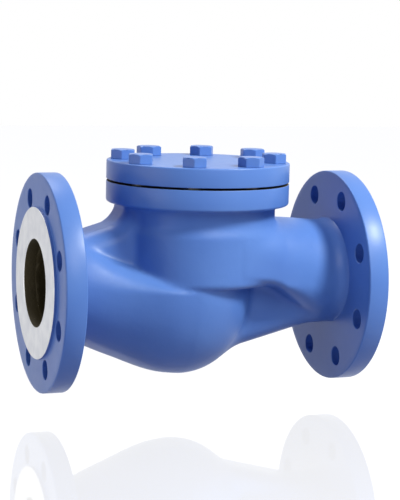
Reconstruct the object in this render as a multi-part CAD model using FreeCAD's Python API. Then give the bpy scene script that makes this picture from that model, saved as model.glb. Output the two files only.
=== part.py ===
import FreeCAD, Part
import math
import os

Vec = FreeCAD.Vector
UP = Vec(0, 0, 1)
ALONG = Vec(1, 0, 0)

# A flanged non-return valve of the guided-disc kind, cast steel, for an 80 mm pipe.
# All sizes are in millimetres. Everything is drawn about the point where the pipe axis (X,
# with the flow) crosses the disc axis (Z, up), and is then moved so that the origin is the
# centre of the inlet face.

# Pipe flanges: the standard pattern for an 80 mm pipe
face_to_face = 310.0
bore_r = 40.0
bore_depth = 12.0
bore_edge_chamfer = 2.0
flange_thickness = 22.0
flange_bolt_circle_r = 80.0
flange_hole_r = 9.0
flange_hole_count = 8
flange_margin = 20.0
flange_rim_edge = 1.0
raised_face_height = 3.0
raised_face_margin = 2.0
raised_face_edge = 0.8

# Casting: walls, and the inlet passage that sinks into the bowl below the seat
wall = 9.0
bore_step = 0.6
hub_length = 12.0
bowl_offset = 19.5
bowl_r = 70.0
bowl_floor = 88.0
bowl_roof = 8.0
bowl_fullness = 0.59
passage_mid = 4.0
neck_half_width = 50.5
neck_far_side = 53.5
neck_near_side = 44.5
neck_fullness = 0.56
hub_half_width = 59.5
hub_far_side = 57.0
hub_near_side = 45.5

# Share of a quarter's width and height that its curve's handles reach to make it an ellipse
ellipse_fullness = 0.5523

# Stations of the inlet passage: how far along from neck to bowl, and what share of the change
# from the neck's section to the bowl's the half width, roof and floor have made by there
inlet_stations = (
    (0.07, 0.06, 0.05, 0.09),
    (0.23, 0.19, 0.30, 0.30),
    (0.40, 0.36, 0.55, 0.505),
    (0.60, 0.63, 0.77, 0.75),
    (0.80, 0.90, 0.94, 0.93),
)

# Drum above the seat, and the outlet passage that leaves it
drum_r = 75.0
drum_round = 5.0
drum_neck_draw = 2.5
drum_shoulder_height = 12.0
drum_neck_height = 14.7
outlet_start = 20.0
outlet_half_width = 71.3
outlet_roof = 56.0
outlet_floor = 6.0
outlet_fullness = 1.0

# Stations of the outlet passage from the drum's inside to the neck, as for the inlet:
# how far along, then the shares of half width, roof and floor
outlet_stations = (
    (0.22, 0.17, 0.00, 0.10),
    (0.40, 0.39, 0.00, 0.20),
    (0.56, 0.57, 0.02, 0.42),
    (0.78, 0.85, 0.38, 0.76),
    (0.93, 0.98, 0.85, 0.96),
)

# Ribs that fill the corners: the web above the inlet passage, the keel below the outlet
rib_half_width = 30.0
rib_round = 18.0
web_end_height = 43.0
web_slope = 0.305
web_corner_r = 16.0
keel_end_depth = 40.3
keel_slope = 0.262
rib_pocket_reach = 94.0

# Bonnet joint: body flange, gasket, cover and the ring of cap screws
bonnet_underside = 71.7
bonnet_body_thickness = 19.3
bonnet_gap = 2.0
cover_thickness = 17.5
bonnet_margin = 14.8
bonnet_edge = 1.2
bonnet_under_edge = 2.5
bonnet_root_r = 3.0
neck_bore_r = 57.0
neck_bore_lead = 4.0
gasket_inset = 1.0
gasket_width = 4.0
screw_circle_r = 70.2
screw_count = 8
screw_r = 7.0
screw_length = 35.0
screw_point = 1.2
screw_clearance = 0.75
thread_clearance = 0.05
tapped_hole_spare = 3.0
tapped_hole_mouth = 0.8
head_across_flats = 21.0
head_height = 8.8
head_crown = 1.4
nut_crown = 1.0
head_turns_deg = (1, 54, 39, 30, 47, 1, 54, 38)

# Seat and seat ring
seat_ring_bore_r = 38.0
seat_ring_wall = 11.0
seat_ring_height = 12.0
seat_ring_shoulder = 4.0
seat_ring_edge = 1.0
seat_ring_fit = 0.03
seat_land_width = 5.0
seat_land_height = 2.0
seat_pad_margin = 9.0
seat_pad_top = 14.0
seat_pad_clear_height = 20.0
seat_recess_depth = 4.0
seat_way_clearance = 2.0

# Disc, its soft seat and what clamps it
disc_overlap = 5.0
disc_rim_drop = 1.5
disc_rim_height = 3.0
disc_thickness = 9.0
disc_hub_r = 13.0
disc_hub_height = 6.0
disc_edge = 1.5
disc_bevel = 3.0
soft_ring_overlap = 1.5
soft_ring_width = 20.5
soft_ring_thickness = 5.0
soft_ring_fit = 0.1
clamp_plate_clearance = 2.5
clamp_plate_thickness = 5.0
clamp_plate_edge = 2.0
clamp_nut_across_flats = 19.0
clamp_nut_height = 12.0
nut_slot_width = 3.6
nut_slot_depth = 4.5
nut_slot_turn_deg = 30.0
split_pin_r = 1.5
split_pin_overhang = 3.5
split_pin_eye_r = 3.6
split_pin_eye_wire_r = 1.1

# Guide stem, bush and spring
lift = 20.0
lift_stop_gap = 0.2
stem_r = 9.0
stem_thread_r = 6.0
stem_length = 40.0
stem_edge = 1.0
stem_tail = 7.0
bush_wall = 4.0
bush_length = 27.0
bush_fit = 0.03
bush_shoulder = 1.0
running_fit = 0.05
guide_boss_wall = 5.0
guide_bore_depth = 11.0
boss_edge = 1.0
cover_spigot_depth = 6.0
spigot_fit = 0.2
spring_wire_r = 1.25
spring_mean_r = 22.6
spring_turns = 6
spring_end_gap = 0.1
spring_washer_thickness = 2.0
spring_washer_margin = 4.4
spring_washer_fit = 0.3

# How far a cutting tool runs past the face it cuts, and a casting's part into its neighbour
overrun = 1.0
cast_overlap = 2.0

# Radii that follow from the sizes above
flange_r = flange_bolt_circle_r + flange_margin
raised_face_r = flange_bolt_circle_r - flange_hole_r - raised_face_margin
bonnet_r = screw_circle_r + bonnet_margin
drum_neck_r = drum_r - drum_neck_draw
drum_core_r = drum_r - wall
gasket_inner_r = neck_bore_r + gasket_inset
gasket_outer_r = gasket_inner_r + gasket_width
seat_way_r = seat_ring_bore_r + seat_way_clearance
seat_land_r = seat_ring_bore_r + seat_land_width
seat_ring_r = seat_ring_bore_r + seat_ring_wall
seat_pad_r = seat_ring_r + seat_pad_margin
disc_r = seat_land_r + disc_overlap
soft_ring_outer_r = seat_land_r + soft_ring_overlap
soft_ring_inner_r = soft_ring_outer_r - soft_ring_width
clamp_plate_r = seat_ring_bore_r - clamp_plate_clearance
bush_r = stem_r + bush_wall
guide_boss_r = bush_r + guide_boss_wall
spring_washer_r = spring_mean_r + spring_washer_margin

# Heights and places that follow from them
seat_axis_x = face_to_face / 2
flange_back = seat_axis_x - flange_thickness
neck_u = flange_back - hub_length
drum_shoulder_high = bonnet_underside - drum_neck_height
drum_shoulder_low = drum_shoulder_high - drum_shoulder_height
bonnet_top = bonnet_underside + bonnet_body_thickness
cover_underside = bonnet_top + bonnet_gap
cover_top = cover_underside + cover_thickness
deck_floor = wall
seat_recess_floor = seat_pad_top - seat_recess_depth
seat_height = seat_recess_floor + seat_ring_height
disc_underside = seat_height + soft_ring_thickness
disc_top = disc_underside + disc_thickness
hub_top = disc_top + disc_hub_height
boss_underside = hub_top + lift + lift_stop_gap
stem_top = hub_top + stem_length
plate_underside = seat_height - clamp_plate_thickness
nut_underside = plate_underside - clamp_nut_height
pin_height = nut_underside + nut_slot_depth / 2
stem_bottom = nut_underside - stem_tail
spigot_underside = cover_underside - cover_spigot_depth
bush_top = boss_underside + bush_length
guide_bore_top = cover_underside + guide_bore_depth
screw_bottom = cover_top - screw_length
washer_top = disc_top + spring_washer_thickness


def revolved(points):
    """Solid of revolution about Z of a closed outline of (radius, height) corners."""
    wire = Part.makePolygon([Vec(r, 0, z) for r, z in points + points[:1]])
    return Part.Face(wire).revolve(Vec(0, 0, 0), UP, 360)


def cylinder(radius, low, high, x=0.0, y=0.0):
    """Upright cylinder between two heights."""
    return Part.makeCylinder(radius, high - low, Vec(x, y, low), UP)


def along_pipe(radius, start, end):
    """Cylinder on the pipe axis between two distances along it."""
    low, high = min(start, end), max(start, end)
    return Part.makeCylinder(radius, high - low, Vec(low, 0, 0), ALONG)


def ring_of(count, shape, start_deg, axis=UP):
    """Copies of a shape, evenly turned about an axis through the origin."""
    copies = []
    for i in range(count):
        copy = shape.copy()
        copy.rotate(Vec(0, 0, 0), axis, start_deg + 360.0 * i / count)
        copies.append(copy)
    return copies


def hexagon(across_flats, low, height):
    """Hexagonal prism about Z."""
    corner = Vec(across_flats / math.sqrt(3), 0, low)
    corners = []
    for i in range(7):
        turned = FreeCAD.Rotation(UP, 60 * i).multVec(corner)
        corners.append(turned)
    return Part.Face(Part.makePolygon(corners)).extrude(Vec(0, 0, height))


def crowned(prism, across_flats, low, height, crown, both=False):
    """A hexagon with its corners turned off to a cone at the top, or at both ends."""
    outside = across_flats / math.sqrt(3) + overrun
    flat = across_flats / 2 - crown / 4
    foot = [(flat, low), (outside, low + crown)] if both else [(outside, low)]
    head = [(outside, low + height - crown), (flat, low + height)]
    return prism.common(revolved([(0, low)] + foot + head + [(0, low + height)]))


def mix(a, b, share):
    return a + (b - a) * share


def bezier(poles):
    curve = Part.BezierCurve()
    curve.setPoles(poles)
    return curve.toShape()


def section(u, half_width, roof, mid, floor, fullness):
    """Four quarter curves of a passage's section at distance u along the pipe.

    It is widest at the height mid. Each quarter is a cubic whose handles reach the share
    fullness of the way to the corner, so 0.55 gives an ellipse and more gives a fuller one.
    """
    quarters = []
    corners = ((1, roof), (-1, roof), (-1, floor), (1, floor))
    for i, (side, end) in enumerate(corners):
        wide = Vec(u, side * half_width, mid)
        wide_handle = Vec(u, side * half_width, mix(mid, end, fullness))
        top_handle = Vec(u, side * half_width * fullness, end)
        top = Vec(u, 0, end)
        poles = [wide, wide_handle, top_handle, top]
        quarters.append(bezier(poles if i % 2 == 0 else poles[::-1]))
    return quarters


def loft(sections):
    """Smooth solid through sections along the pipe."""
    return Part.makeLoft([Part.Wire(section(*s)) for s in sections], True, False)


def inset(s, depth):
    """The same section with its outline moved inwards by a wall."""
    u, half_width, roof, mid, floor, fullness = s
    return (u, half_width - depth, roof - depth, mid, floor + depth, fullness)


def mirrored(s):
    """The section point-mirrored: the outlet's neck and hub are the inlet's turned about Y."""
    u, half_width, roof, mid, floor, fullness = s
    return (-u, half_width, -floor, -mid, -roof, fullness)


def stations(first, last, table):
    """Sections from first to last, with those of a table of shares between them."""
    middle = []
    for along, wide, up, down in table:
        shares = (along, wide, up, along, down, along)
        middle.append(tuple(mix(a, b, k) for a, b, k in zip(first, last, shares)))
    return [first] + middle + [last]


# Sections at the two ends of each passage: (u, half width, roof, mid, floor, fullness)
neck_mid = -passage_mid / 2
hub_end = flange_back + cast_overlap
inlet_neck = (-neck_u, neck_half_width, neck_near_side, neck_mid, -neck_far_side, neck_fullness)
inlet_hub = (-hub_end, hub_half_width, hub_near_side, neck_mid, -hub_far_side, neck_fullness)
inlet_bowl = (-bowl_offset, bowl_r, bowl_roof, -passage_mid, -bowl_floor, bowl_fullness)
outlet_neck = mirrored(inlet_neck)
outlet_hub = mirrored(inlet_hub)
outlet_drum = (
    outlet_start, outlet_half_width, outlet_roof, passage_mid, outlet_floor, outlet_fullness
)


def bore_section(side):
    """Round section where a passage meets its machined bore."""
    r = bore_r - bore_step
    return (side * (seat_axis_x - bore_depth), r, r, 0.0, -r, ellipse_fullness)


def bowl(depth):
    """The half of the bowl beyond its widest section, turned about its own upright axis."""
    u, half_width, roof, mid, floor, fullness = inset(inlet_bowl, depth)
    quarters = section(u, half_width, roof, mid, floor, fullness)[1:3]
    axis = Part.makeLine(Vec(u, 0, floor), Vec(u, 0, roof))
    return Part.Face(Part.Wire(quarters + [axis])).revolve(Vec(u, 0, 0), UP, 180)


def hub(neck, end):
    """Concave flare from a neck out to the back of its flange."""
    flare = []
    for degrees in (0, 30, 55, 75, 90):
        turn = math.radians(degrees)
        u = mix(neck[0], end[0], math.sin(turn))
        grown = [mix(a, b, 1 - math.cos(turn)) for a, b in zip(neck[1:], end[1:])]
        flare.append((u, *grown))
    return loft(flare)


def inlet_passage(depth):
    """Inlet passage and bowl: the outside of the casting at depth 0, its core at the wall."""
    sections = [inset(s, depth) for s in stations(inlet_neck, inlet_bowl, inlet_stations)]
    parts = [loft(sections), bowl(depth)]
    if depth:
        parts.append(loft([bore_section(-1), sections[0]]))
    return parts


def outlet_passage(depth):
    sections = [inset(s, depth) for s in stations(outlet_drum, outlet_neck, outlet_stations)]
    parts = [loft(sections)]
    if depth:
        parts.append(loft([sections[-1], bore_section(1)]))
    return parts


def rib(outline, half_width, round_r, rounded):
    """Plate of an (x, z) outline, symmetric about the pipe, with chosen long edges rounded.

    rounded says of an edge's middle whether that edge is one to round.
    """
    face = Part.Face(Part.Wire(outline))
    face.translate(Vec(0, -half_width, 0))
    plate = face.extrude(Vec(0, 2 * half_width, 0))
    edges = []
    for edge in plate.Edges:
        on_one_side = edge.BoundBox.YLength < half_width
        if on_one_side and rounded(edge.CenterOfMass):
            edges.append(edge)
    return plate.makeFillet(round_r, edges)


def side_line(x1, z1, x2, z2):
    return Part.makeLine(Vec(x1, 0, z1), Vec(x2, 0, z2))


def web():
    """Rib from the inlet flange up to the bonnet flange, with a hollow corner at the drum."""
    start, column = -flange_back - flange_thickness / 3, -drum_r
    low, high, inside = 0.0, bonnet_underside + cast_overlap, -drum_r / 2

    def top(x):
        return web_end_height + web_slope * (x + neck_u)

    slope = math.atan(web_slope)
    turn = math.pi / 2 - slope
    run = web_corner_r * math.tan(turn / 2)
    corner_z = top(column)
    leave = Vec(column - run * math.cos(slope), 0, corner_z - run * math.sin(slope))
    arrive = Vec(column, 0, corner_z + run)
    centre = Vec(column - web_corner_r, 0, corner_z + run)
    middle = centre + Vec(math.cos(-turn / 2), 0, math.sin(-turn / 2)) * web_corner_r
    outline = [
        side_line(start, top(start), leave.x, leave.z),
        Part.Arc(leave, middle, arrive).toShape(),
        side_line(arrive.x, arrive.z, column, high),
        side_line(column, high, inside, high),
        side_line(inside, high, inside, low),
        side_line(inside, low, start, low),
        side_line(start, low, start, top(start)),
    ]

    def on_top(p):
        return low + overrun < p.z < high - overrun and start + overrun < p.x < inside - overrun

    return rib(outline, rib_half_width, rib_round, on_top)


def corner_rib(depth, sign, end_height, slope, reach, inside, low):
    """Straight rib below the outlet passage, or at a depth its pocket; sign -1 is the keel."""
    def edge(x):
        return end_height - depth + slope * (neck_u - x)

    points = [(reach, edge(reach)), (inside, edge(inside)), (inside, low), (reach, low)]
    corners = [Vec(sign * -x, 0, sign * z) for x, z in points]
    outline = [Part.makeLine(a, b) for a, b in zip(corners, corners[1:] + corners[:1])]

    def on_edge(p):
        return sign * p.z > low + overrun and inside + overrun < -sign * p.x < reach - overrun

    return rib(outline, rib_half_width - depth, rib_round - depth, on_edge)


def keel(depth=0.0):
    """The keel, or its pocket in the casting at the wall's depth."""
    reach = rib_pocket_reach if depth else flange_back + flange_thickness / 3
    low = passage_mid + overrun if depth else 0.0
    return corner_rib(depth, -1, keel_end_depth, keel_slope, reach, bowl_offset, low)


def web_pocket():
    """Pocket in the web, open to the drum."""
    inside, low = drum_core_r - wall, deck_floor + overrun
    return corner_rib(wall, 1, web_end_height, web_slope, rib_pocket_reach, inside, low)


def quarter_arc(x1, z1, x2, z2, centre_x, centre_z):
    """Quarter of a circle in the upright plane, between two points."""
    centre = Vec(centre_x, 0, centre_z)
    chord_mid = Vec((x1 + x2) / 2, 0, (z1 + z2) / 2)
    radius = (Vec(x1, 0, z1) - centre).Length
    middle = centre + (chord_mid - centre).normalize() * radius
    return Part.Arc(Vec(x1, 0, z1), middle, Vec(x2, 0, z2)).toShape()


def drum_profile(round_r, low, radius, neck_r, shoulder_low, shoulder_high, root_r, root, top):
    """Upright drum with a rounded lower edge and a smooth shoulder in to its neck.

    At the height root the neck spreads by root_r, to meet the flange above it.
    """
    bend = (shoulder_high - shoulder_low) / 2
    edges = [
        side_line(0, low, radius - round_r, low),
        quarter_arc(radius - round_r, low, radius, low + round_r, radius - round_r, low + round_r),
        side_line(radius, low + round_r, radius, shoulder_low),
        bezier([
            Vec(radius, 0, shoulder_low),
            Vec(radius, 0, shoulder_low + bend),
            Vec(neck_r, 0, shoulder_high - bend),
            Vec(neck_r, 0, shoulder_high),
        ]),
    ]
    end_r = neck_r + root_r
    if root_r:
        edges.append(side_line(neck_r, shoulder_high, neck_r, root - root_r))
        edges.append(quarter_arc(neck_r, root - root_r, end_r, root, end_r, root - root_r))
        edges.append(side_line(end_r, root, end_r, top))
    else:
        edges.append(side_line(neck_r, shoulder_high, neck_r, top))
    edges += [side_line(end_r, top, 0, top), side_line(0, top, 0, low)]
    return Part.Face(Part.Wire(edges)).revolve(Vec(0, 0, 0), UP, 360)


def drum():
    """Outside of the drum, up into the bonnet flange."""
    return drum_profile(
        drum_round, 0.0, drum_r, drum_neck_r, drum_shoulder_low, drum_shoulder_high,
        bonnet_root_r, bonnet_underside, bonnet_underside + cast_overlap,
    )


def drum_core():
    """Inside of the drum, drawn in to the bore that the cover's spigot enters."""
    neck_start = bonnet_underside - neck_bore_lead
    return drum_profile(
        wall, deck_floor, drum_core_r, neck_bore_r, drum_shoulder_low, neck_start,
        0.0, neck_start, bonnet_top + overrun,
    )


def bonnet_flange():
    """Body's bonnet flange, with a chamfered lower edge and a small root fillet."""
    profile = [
        (0, bonnet_underside),
        (bonnet_r - bonnet_under_edge, bonnet_underside),
        (bonnet_r, bonnet_underside + bonnet_under_edge),
        (bonnet_r, bonnet_top - bonnet_edge / 2),
        (bonnet_r - bonnet_edge / 2, bonnet_top),
        (0, bonnet_top),
    ]
    return revolved(profile)


def pipe_flange(side):
    """Round flange with its raised face, without holes."""
    back, front = flange_back, seat_axis_x - raised_face_height
    e, f = flange_rim_edge, raised_face_edge
    profile = [
        (back, 0), (back, flange_r - e), (back + e, flange_r), (front - e, flange_r),
        (front, flange_r - e), (front, raised_face_r + f), (seat_axis_x - f, raised_face_r),
        (seat_axis_x, raised_face_r - f), (seat_axis_x, 0),
    ]
    wire = Part.makePolygon([Vec(side * x, 0, r) for x, r in profile + profile[:1]])
    return Part.Face(wire).revolve(Vec(0, 0, 0), ALONG, 360)


def flange_cuts(side):
    """Bore with its chamfered edge, and the ring of bolt holes."""
    face = side * seat_axis_x
    mouth = Part.makeCone(
        bore_r, bore_r + 2 * bore_edge_chamfer, 2 * bore_edge_chamfer,
        Vec(face - side * bore_edge_chamfer, 0, 0), ALONG * side,
    )
    bore = along_pipe(bore_r, face + side * overrun, face - side * bore_depth)
    hole = along_pipe(flange_hole_r, face + side * overrun, side * (flange_back - overrun))
    hole.translate(Vec(0, 0, flange_bolt_circle_r))
    half_step = 180.0 / flange_hole_count
    return [mouth, bore] + ring_of(flange_hole_count, hole, half_step, ALONG)


def tapped_holes():
    """Blind holes for the cap screws, with a chamfered mouth."""
    low = screw_bottom - tapped_hole_spare
    r = screw_r + thread_clearance
    hole = cylinder(r, low, bonnet_top + overrun)
    mouth_foot = Vec(0, 0, bonnet_top - tapped_hole_mouth)
    mouth = Part.makeCone(r, r + 2 * tapped_hole_mouth, 2 * tapped_hole_mouth, mouth_foot)
    hole = hole.fuse(mouth)
    hole.translate(Vec(screw_circle_r, 0, 0))
    return ring_of(screw_count, hole, 180.0 / screw_count)


def body():
    """The casting: S-shaped waterway with a seat in its partition."""
    inlet = inlet_passage(0.0)
    outlet = outlet_passage(0.0)
    outside = inlet[0].multiFuse(
        inlet[1:] + outlet + [
            hub(inlet_neck, inlet_hub), hub(outlet_neck, outlet_hub), drum(), web(), keel(),
            bonnet_flange(), pipe_flange(-1), pipe_flange(1),
        ]
    )
    pad = cylinder(seat_pad_r, 0, seat_pad_top)
    upper = drum_core().multiFuse(outlet_passage(wall) + [web_pocket()])
    upper = upper.cut(inlet[0].multiFuse(inlet[1:])).cut(pad)
    lower_parts = inlet_passage(wall)
    lower = lower_parts[0].multiFuse(lower_parts[1:])
    lower = lower.fuse(keel(wall).cut(outlet[0]))
    machined = [
        cylinder(seat_way_r, -wall, seat_recess_floor + overrun),
        cylinder(seat_ring_r + seat_ring_fit, seat_recess_floor, seat_pad_top + overrun),
        cylinder(seat_pad_r, seat_pad_top, seat_pad_top + seat_pad_clear_height),
    ]
    machined += flange_cuts(-1) + flange_cuts(1) + tapped_holes()
    return outside.cut(upper).cut(lower).cut(machined)


def seat_ring():
    """Ring pressed into the deck, with the narrow land that the disc closes on."""
    land_foot = seat_height - seat_land_height
    edge = seat_ring_edge
    return revolved([
        (seat_ring_bore_r, seat_recess_floor), (seat_ring_r, seat_recess_floor),
        (seat_ring_r, land_foot - seat_ring_shoulder), (seat_land_r + edge, land_foot),
        (seat_land_r, land_foot), (seat_land_r, seat_height),
        (seat_ring_bore_r + edge, seat_height), (seat_ring_bore_r, seat_height - edge),
    ])


def cover():
    """Cover with a locating spigot and the boss that holds the guide bush."""
    inner = bush_r + bush_fit
    bore_above = inner - bush_shoulder
    spigot_r = neck_bore_r - spigot_fit
    edge = bonnet_edge
    profile = [
        (0, guide_bore_top), (bore_above, guide_bore_top), (bore_above, bush_top), (inner, bush_top),
        (inner, boss_underside), (guide_boss_r - boss_edge, boss_underside),
        (guide_boss_r, boss_underside + boss_edge), (guide_boss_r, spigot_underside),
        (spigot_r - boss_edge, spigot_underside), (spigot_r, spigot_underside + boss_edge),
        (spigot_r, cover_underside), (bonnet_r - edge / 2, cover_underside),
        (bonnet_r, cover_underside + edge / 2), (bonnet_r, cover_top - edge),
        (bonnet_r - edge, cover_top), (0, cover_top),
    ]
    hole_r = screw_r + screw_clearance
    hole = cylinder(hole_r, cover_underside - overrun, cover_top + overrun, screw_circle_r)
    return revolved(profile).cut(ring_of(screw_count, hole, 180.0 / screw_count))


def gasket():
    """Flat ring between the body's bonnet flange and the cover."""
    return revolved([
        (gasket_inner_r, bonnet_top), (gasket_outer_r, bonnet_top),
        (gasket_outer_r, cover_underside), (gasket_inner_r, cover_underside),
    ])


def cover_screws():
    """Ring of hexagon cap screws, each with its head turned as it was tightened."""
    shank = revolved([
        (0, screw_bottom), (screw_r - screw_point, screw_bottom),
        (screw_r, screw_bottom + screw_point), (screw_r, cover_top), (0, cover_top),
    ])
    prism = hexagon(head_across_flats, cover_top, head_height)
    head = crowned(prism, head_across_flats, cover_top, head_height, head_crown)
    screws = []
    for i in range(screw_count):
        turned = head.copy()
        turned.rotate(Vec(0, 0, 0), UP, head_turns_deg[i % len(head_turns_deg)])
        screw = shank.fuse(turned)
        screw.translate(Vec(screw_circle_r, 0, 0))
        screw.rotate(Vec(0, 0, 0), UP, (i + 0.5) * 360.0 / screw_count)
        screws.append(screw)
    return Part.Compound(screws)


def guide_bush():
    """Bush in the cover's boss, chamfered where the stem enters."""
    inner = stem_r + running_fit
    return revolved([
        (inner, boss_underside + boss_edge), (inner + boss_edge, boss_underside),
        (bush_r, boss_underside), (bush_r, bush_top),
        (inner + boss_edge, bush_top), (inner, bush_top - boss_edge),
    ])


def disc():
    """Disc with a recess for its soft seat and a hub that the stem shoulders on."""
    recess_r = soft_ring_outer_r + soft_ring_fit
    skirt = seat_height + disc_rim_drop
    rim_top = disc_underside + disc_rim_height
    return revolved([
        (stem_thread_r, disc_underside), (recess_r, disc_underside), (recess_r, skirt),
        (disc_r, skirt), (disc_r, rim_top), (disc_r - disc_bevel, disc_top - disc_bevel),
        (spring_washer_r + disc_edge, disc_top), (disc_hub_r, disc_top),
        (disc_hub_r, hub_top - disc_edge), (disc_hub_r - disc_edge, hub_top),
        (stem_thread_r, hub_top),
    ])


def soft_ring():
    """Flat sealing ring that closes on the seat's land."""
    return revolved([
        (soft_ring_inner_r, seat_height), (soft_ring_outer_r, seat_height),
        (soft_ring_outer_r, disc_underside), (soft_ring_inner_r, disc_underside),
    ])


def clamp_plate():
    """Plate that holds the soft seat up against the disc, with a spigot inside the ring."""
    spigot_r = soft_ring_inner_r - soft_ring_fit
    edge = clamp_plate_edge
    return revolved([
        (stem_thread_r, plate_underside), (clamp_plate_r - edge, plate_underside),
        (clamp_plate_r, plate_underside + edge), (clamp_plate_r, seat_height),
        (spigot_r, seat_height), (spigot_r, disc_underside), (stem_thread_r, disc_underside),
    ])


def clamp_nut():
    """Slotted nut, its slots cut in the lower end where the split pin crosses."""
    flats = clamp_nut_across_flats
    nut = hexagon(flats, nut_underside, clamp_nut_height)
    nut = crowned(nut, flats, nut_underside, clamp_nut_height, nut_crown, both=True)
    nut = nut.cut(cylinder(stem_thread_r, nut_underside - overrun, plate_underside + overrun))
    corner = Vec(-flats, -nut_slot_width / 2, nut_underside)
    slot = Part.makeBox(2 * flats, nut_slot_width, nut_slot_depth, corner)
    return nut.cut(ring_of(3, slot, nut_slot_turn_deg))


def split_pin():
    """Split pin through the stem, with its eye outside one slot of the nut."""
    reach = clamp_nut_across_flats / 2 + split_pin_overhang
    pin = Part.makeCylinder(split_pin_r, 2 * reach, Vec(-reach, 0, pin_height), ALONG)
    ring_r = split_pin_eye_r - split_pin_eye_wire_r
    eye_centre = Vec(reach + ring_r, 0, pin_height)
    eye = Part.makeTorus(ring_r, split_pin_eye_wire_r, eye_centre, Vec(0, 1, 0))
    whole = pin.fuse(eye)
    whole.rotate(Vec(0, 0, 0), UP, nut_slot_turn_deg)
    return whole


def guide_stem():
    """Stem that runs in the bush, with a thinner tail through the disc, plate and nut."""
    stem = revolved([
        (0, stem_bottom), (stem_thread_r - stem_edge, stem_bottom),
        (stem_thread_r, stem_bottom + stem_edge), (stem_thread_r, hub_top),
        (stem_r, hub_top), (stem_r, stem_top - stem_edge),
        (stem_r - stem_edge, stem_top), (0, stem_top),
    ])
    hole = Part.makeCylinder(split_pin_r, 2 * stem_r, Vec(-stem_r, 0, pin_height), ALONG)
    hole.rotate(Vec(0, 0, 0), UP, nut_slot_turn_deg)
    return stem.cut(hole)


def spring_washer():
    """Washer on the disc that the spring stands on."""
    inner = disc_hub_r + spring_washer_fit
    return revolved([
        (inner, disc_top), (spring_washer_r, disc_top),
        (spring_washer_r, washer_top), (inner, washer_top),
    ])


def spring():
    """Round-wire closing spring about the guide boss, between the washer and the cover."""
    low = washer_top + spring_wire_r + spring_end_gap
    high = spigot_underside - spring_wire_r - spring_end_gap
    helix = Part.makeHelix((high - low) / spring_turns, high - low, spring_mean_r)
    helix.translate(Vec(0, 0, low))
    start = Vec(spring_mean_r, 0, low)
    wire = Part.Wire(Part.makeCircle(spring_wire_r, start, Vec(0, 1, 0)))
    return Part.Wire(helix).makePipeShell([wire], True, True)


def save(name, shape):
    """Writes one piece, moved so that the origin is the centre of the inlet face."""
    placed = shape.copy()
    placed.translate(Vec(seat_axis_x, 0, 0))
    placed.exportStep(os.path.join("parts", name + ".step"))
    state = "valid" if placed.isValid() else "NOT VALID"
    print(name, len(placed.Solids), "solid", state, round(placed.Volume / 1000, 1), "cm3")


os.makedirs("parts", exist_ok=True)
save("body", body())
save("seat_ring", seat_ring())
save("cover", cover())
save("cover_gasket", gasket())
save("cover_screws", cover_screws())
save("guide_bush", guide_bush())
save("disc", disc())
save("soft_seat_ring", soft_ring())
save("clamp_plate", clamp_plate())
save("clamp_nut", clamp_nut())
save("split_pin", split_pin())
save("guide_stem", guide_stem())
save("spring_washer", spring_washer())
save("closing_spring", spring())
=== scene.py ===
# %% [markdown]
# A cast non-return valve for an 80 mm pipe. The working model gives every piece its size and
# its place. This lesson gives them their looks: the soft corners of a casting under blue
# enamel, bare machined faces, and steel, bronze and graphite inside.
# We start by loading the working model, which stays where it is.

# %% Load the working model
import math

import bpy
import numpy as np
from mathutils import Matrix, Quaternion, Vector


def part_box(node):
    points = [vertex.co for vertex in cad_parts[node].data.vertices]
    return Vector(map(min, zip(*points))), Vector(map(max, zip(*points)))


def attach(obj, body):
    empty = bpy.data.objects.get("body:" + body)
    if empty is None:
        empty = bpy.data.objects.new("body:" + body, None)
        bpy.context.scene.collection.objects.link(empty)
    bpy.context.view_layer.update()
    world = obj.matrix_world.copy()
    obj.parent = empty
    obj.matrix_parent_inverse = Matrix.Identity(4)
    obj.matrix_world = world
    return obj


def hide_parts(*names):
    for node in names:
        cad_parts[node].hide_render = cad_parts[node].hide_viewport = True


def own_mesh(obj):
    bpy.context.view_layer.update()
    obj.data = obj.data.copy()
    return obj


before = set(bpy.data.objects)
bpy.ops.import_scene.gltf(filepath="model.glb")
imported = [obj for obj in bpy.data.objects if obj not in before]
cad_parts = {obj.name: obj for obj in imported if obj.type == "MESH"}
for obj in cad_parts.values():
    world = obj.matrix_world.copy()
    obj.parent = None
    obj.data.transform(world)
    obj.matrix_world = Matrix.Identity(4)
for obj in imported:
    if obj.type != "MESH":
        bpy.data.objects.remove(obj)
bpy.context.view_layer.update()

print("nodes:", sorted(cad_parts))

# %% [markdown]
# Blender works in metres and a maker of valves in millimetres, so each size below is written
# in millimetres and multiplied by MM. Sizes that the working model already has are read from
# the boxes of its nodes, and the rest are the drawing's own.

# %% Sizes read from the working model
MM = 0.001


def node_size(name):
    """Lowest corner, highest corner and extent of a node, in millimetres."""
    low, high = (np.array(corner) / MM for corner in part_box(name))
    return low, high, high - low


body_low, _, body_extent = node_size("body")
cover_low, cover_high, cover_extent = node_size("cover")
gasket_low, gasket_high, _ = node_size("cover_gasket")
screw_low, screw_high, _ = node_size("cover_screws")
seat_x = body_extent[0] / 2
flange_r = body_extent[1] / 2
bonnet_r = cover_extent[0] / 2
bonnet_top = gasket_low[2]
cover_underside = gasket_high[2]
cover_top = cover_high[2]
valve_underside = body_low[2]
print("seat axis at x", seat_x, "flange radius", flange_r, "bonnet radius", bonnet_r)

# %% [markdown]
# The camera stands where the photograph was taken from. Its place, aim and roll were found by
# matching the ellipses of the flange, bore and cover, so they are plain numbers here. The view
# is long and narrow, like a catalogue picture, so the sides of the valve hardly converge.

# %% Camera
view_from = np.array((-366.3, -1424.4, 236.1)) * MM
view_at = np.array((159.1, 0.0, 26.6)) * MM
view_roll_deg = 1.5
focal_px = 1638.0
picture_height_px = 500
sensor_mm = 36.0
farthest_seen_m = 20.0


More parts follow.
